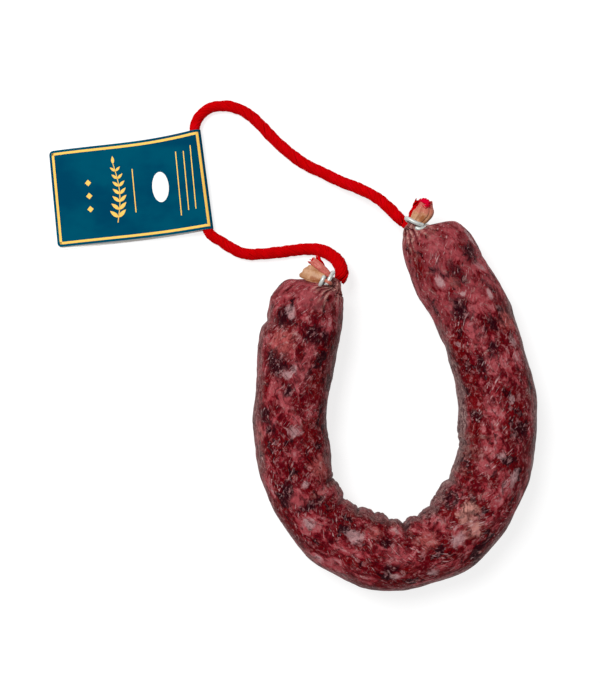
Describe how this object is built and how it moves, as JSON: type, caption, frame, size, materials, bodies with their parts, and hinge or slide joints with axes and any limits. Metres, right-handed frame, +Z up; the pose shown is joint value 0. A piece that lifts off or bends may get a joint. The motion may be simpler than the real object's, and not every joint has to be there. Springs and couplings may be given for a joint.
{
  "type": "cured sausage",
  "caption": "Horseshoe-shaped cured sausage in natural casing, gathered and clipped at both ends, with its hanging string and folded card tag.",
  "frame": {"origin": "middle of the box round the sausage and its clips, on the table that it lies on", "axes": "+Z up from the table, +Y from the bend towards the open end of the horseshoe"},
  "size_m": [0.2365, 0.2378, 0.0358],
  "materials": {
    "casing": "thin wrinkled translucent casing over minced cured meat, satin to glossy",
    "clip_wire": "drawn wire, satin",
    "yarn": "twisted yarn, matte and slightly hairy",
    "card": "printed card, satin"
  },
  "bodies": {
    "root": {"sausage": "casing", "clip_left": "clip_wire", "clip_right": "clip_wire", "string": "yarn", "string_end_left": "yarn", "string_end_right": "yarn", "tag": "card"}
  },
  "joints": []
}
